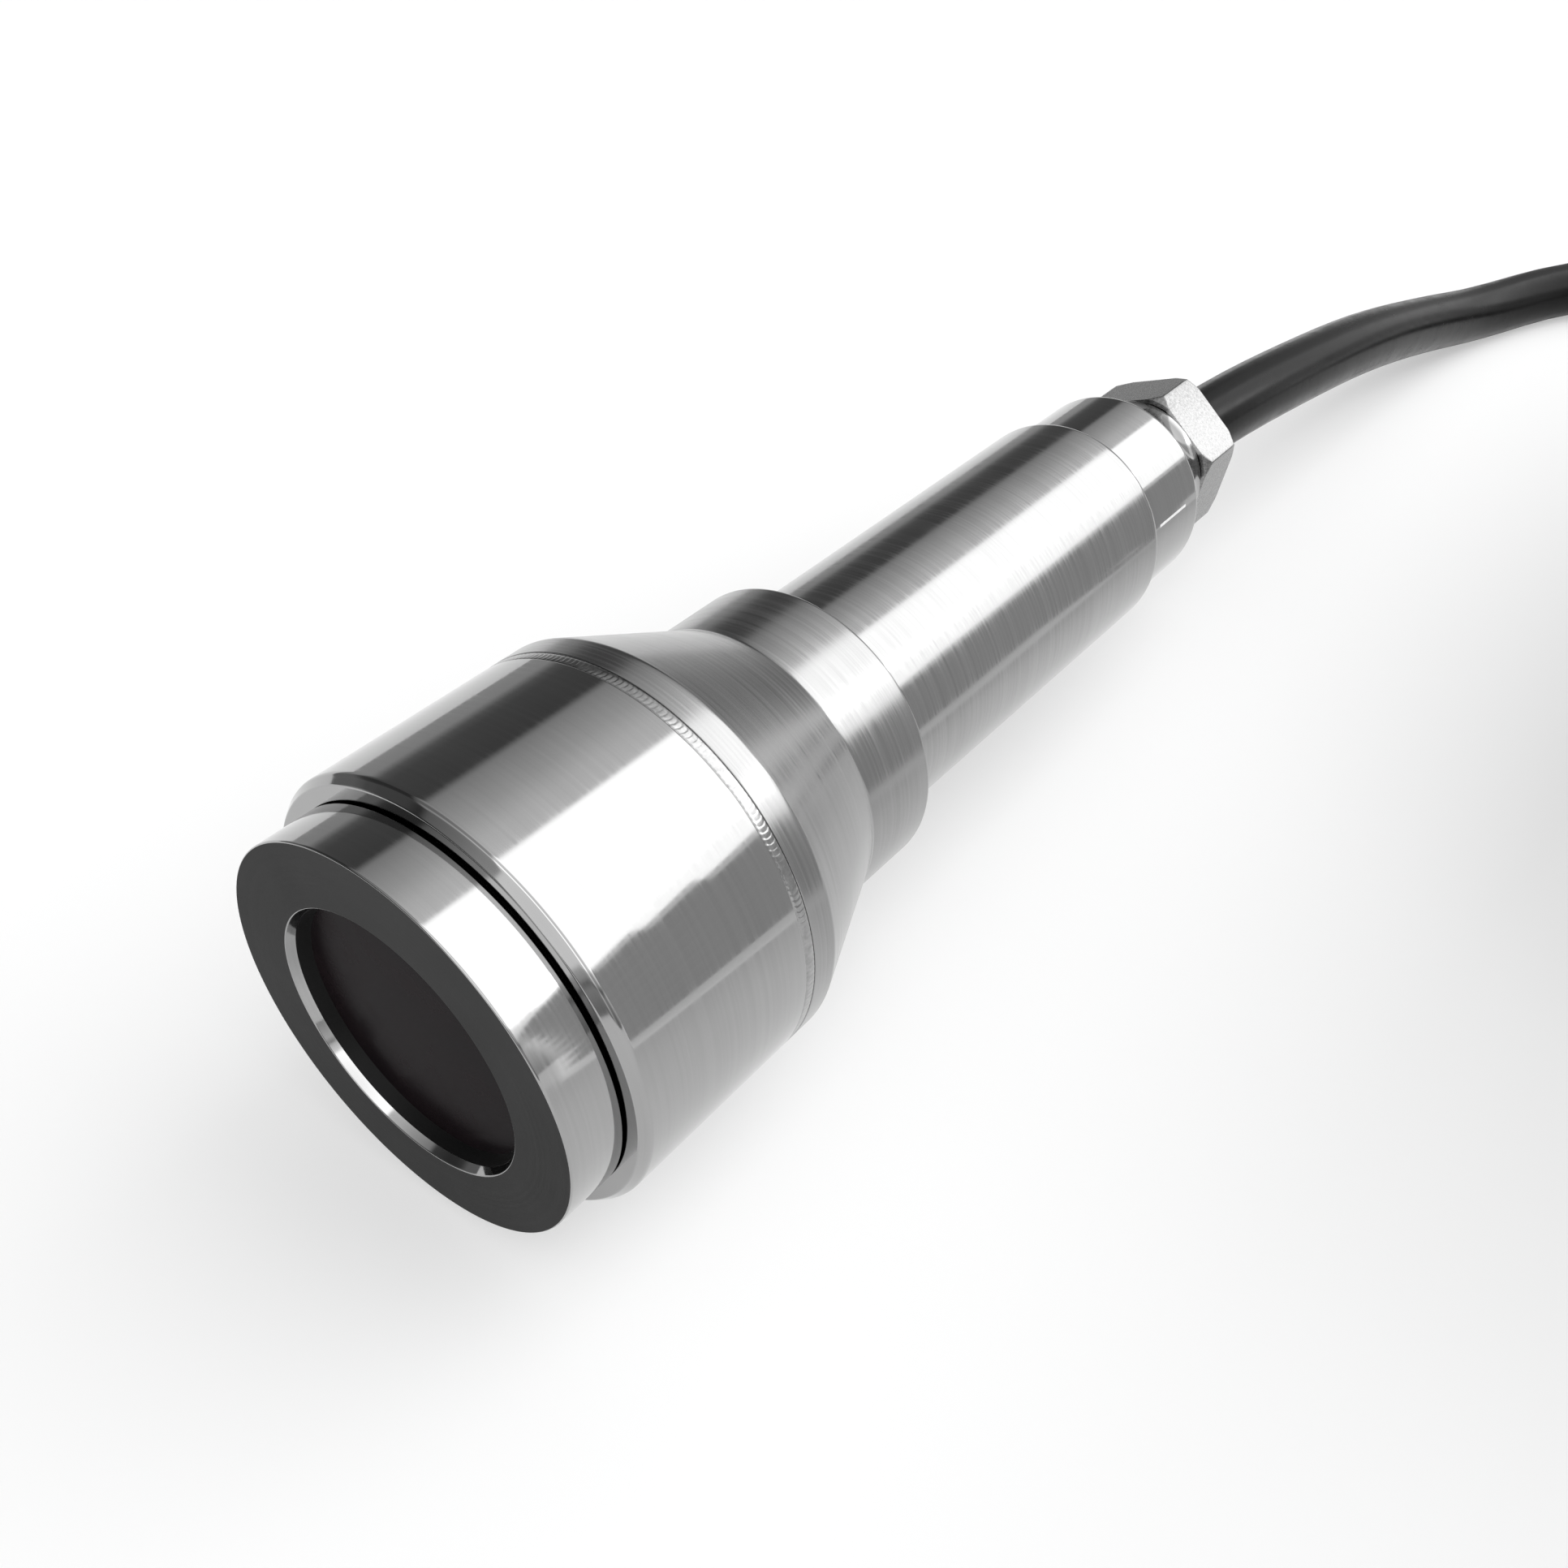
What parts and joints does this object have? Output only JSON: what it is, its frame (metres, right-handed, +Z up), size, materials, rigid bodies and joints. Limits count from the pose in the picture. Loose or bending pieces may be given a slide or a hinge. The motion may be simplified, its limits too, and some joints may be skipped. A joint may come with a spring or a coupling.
{
  "type": "submersible level transmitter",
  "caption": "Steel submersible level probe with a wide flush-diaphragm head, coned neck, slim tube and cable gland.",
  "frame": {"origin": "on the ground under the middle of the metal probe's length, between its sides", "axes": "+X along the probe from its measuring face to its cable, +Z up"},
  "size_m": [0.3152, 0.2364, 0.1153],
  "materials": {
    "steel_machined": "fine turned, matte",
    "steel_polished": "turned and polished",
    "steel_brushed": "fine brushed",
    "steel_ground": "ground flats",
    "weld": "rippled weld bead",
    "seal_rubber": "smooth moulded",
    "diaphragm_dark": "lapped, glossy",
    "ceramic_white": "matte ceramic",
    "support_plastic": "moulded",
    "board_laminate": "solder-masked laminate",
    "chip_plastic": "moulded",
    "terminal_plastic": "moulded",
    "cable_jacket": "extruded, softly shining",
    "strap_webbing": "woven strap",
    "sleeve_plastic": "shrunk",
    "wire_red": "extruded",
    "wire_white": "extruded",
    "wire_bare": "extruded",
    "ferrule_tin": "tinned",
    "vent_plastic": "translucent tube"
  },
  "bodies": {
    "root": {"front_ring": "steel_machined", "head_housing": "steel_polished", "cone_adapter": "steel_polished", "gland_body": "steel_polished", "body_tube": "steel_brushed", "gland_nut": "steel_ground", "gland_washers": "steel_ground", "weld_bead": "weld", "cell_seal": "seal_rubber", "ring_oring": "seal_rubber", "tube_oring": "seal_rubber", "gland_grommet": "seal_rubber", "diaphragm": "diaphragm_dark", "measuring_cell": "ceramic_white", "surge_arresters": "ceramic_white", "vent_filter": "ceramic_white", "support_ring": "support_plastic", "board_carrier": "support_plastic", "sensor_board": "board_laminate", "main_board": "board_laminate", "board_parts": "chip_plastic", "terminal_block": "terminal_plastic", "cable_entry": "cable_jacket", "cable_lead": "cable_jacket", "cable_hank": "cable_jacket", "cable_tail": "cable_jacket", "hank_ties": "strap_webbing", "end_sleeve": "sleeve_plastic", "conductor_supply": "wire_red", "sensor_leads": "wire_red", "inner_wires": "wire_red", "conductor_signal": "wire_white", "conductor_screen": "wire_bare", "wire_ferrules": "ferrule_tin", "vent_tube": "vent_plastic", "inner_vent": "vent_plastic"}
  },
  "joints": []
}
